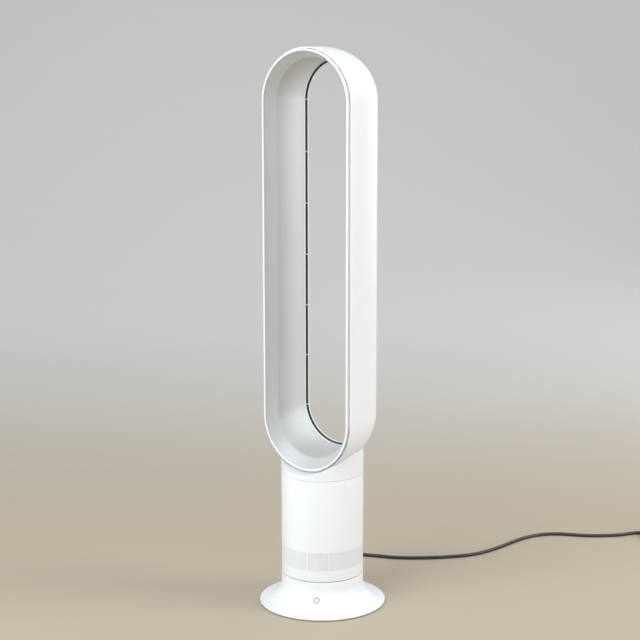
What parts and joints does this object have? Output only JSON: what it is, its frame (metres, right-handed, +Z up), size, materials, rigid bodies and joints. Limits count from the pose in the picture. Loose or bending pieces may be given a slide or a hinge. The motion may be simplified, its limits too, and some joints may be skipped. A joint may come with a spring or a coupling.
{
  "type": "bladeless tower fan",
  "caption": "Tall oval air-loop fan on a round body and flared round base, with a rear slot, perforated inlet band, oscillating head and mains cord.",
  "frame": {"origin": "centre of the base on the floor, on the axis about which the head turns", "axes": "+Z up; the loop faces -Y at rest; the base's front, with its button, is turned 28 degrees from -Y towards +X"},
  "size_m": [0.5248, 0.9499, 1.007],
  "materials": {
    "shell_white": "smooth white moulded plastic with a soft gloss",
    "silver_lacquer": "satin silver-grey lacquer on plastic",
    "grille_grey": "fine perforated light grey panels",
    "grey_plastic": "matt grey moulded plastic",
    "dark_plastic": "matt black moulded plastic",
    "rubber_black": "soft black rubber",
    "cord_sheath": "grey-brown flexible sheath",
    "foam": "open-cell foam",
    "steel": "plain bright steel",
    "copper_winding": "enamelled copper windings on a laminated core",
    "circuit_green": "green circuit board with components",
    "acetal": "natural slippery plastic",
    "brass": "turned brass"
  },
  "bodies": {
    "base": {"base_housing": "shell_white", "floor_plate": "dark_plastic", "foot_ring": "rubber_black", "floor_screw_1": "steel", "floor_screw_2": "steel", "floor_screw_3": "steel", "floor_screw_4": "steel", "bearing_ring": "dark_plastic", "pivot_cap": "acetal", "swivel_motor": "steel", "power_board": "circuit_green", "inner_lead": "cord_sheath", "cord_clamp": "grey_plastic", "cord_gland": "cord_sheath", "button_surround": "grey_plastic", "button_switch": "dark_plastic", "cord_run": "cord_sheath", "cord_coil": "cord_sheath", "cord_tail": "cord_sheath", "cord_tie": "rubber_black", "plug_body": "rubber_black", "plug_pin_1": "steel", "plug_pin_2": "steel"},
    "button": {"power_button": "shell_white"},
    "pinion": {"drive_pinion": "acetal"},
    "head": {"turntable": "acetal", "body_shell": "shell_white", "inlet_grille": "grille_grey", "silencer_lower": "foam", "silencer_upper": "foam", "bellmouth": "grey_plastic", "impeller_housing": "grey_plastic", "isolator_1": "rubber_black", "isolator_2": "rubber_black", "isolator_3": "rubber_black", "housing_seal": "rubber_black", "motor_bucket": "grey_plastic", "diffuser": "grey_plastic", "motor_stator": "copper_winding", "motor_board": "circuit_green", "bearing_lower": "steel", "bearing_upper": "steel", "display_board": "circuit_green", "neck_collar": "shell_white", "loop_outer_shell": "shell_white", "loop_nozzle": "silver_lacquer", "loop_seal": "grille_grey", "front_rim": "shell_white"},
    "rotor": {"motor_shaft": "steel", "rotor_magnet": "dark_plastic", "impeller": "dark_plastic", "impeller_nut": "brass"}
  },
  "joints": [
    {"name": "oscillation", "type": "hinge", "parent": "base", "child": "head", "pos_m": [0, 0, 0.055], "axis": [0, 0, 1], "range_deg": [-7, 63]},
    {"name": "impeller_spin", "type": "hinge", "parent": "head", "child": "rotor", "pos_m": [0, 0, 0.15], "axis": [0, 0, 1], "continuous": true},
    {"name": "power_button_press", "type": "slide", "parent": "base", "child": "button", "axis": [-0.4193, 0.7885, -0.45], "range_m": [0, 0.001], "stiffness_N_per_m": 800},
    {"name": "pinion_spin", "type": "hinge", "parent": "base", "child": "pinion", "pos_m": [-0.04497, 0.00157, 0.054], "axis": [0, 0, 1], "range_deg": [-316, 36]}
  ],
  "couplings": [
    {"joint": "pinion_spin", "follows": "oscillation", "ratio": -5}
  ]
}
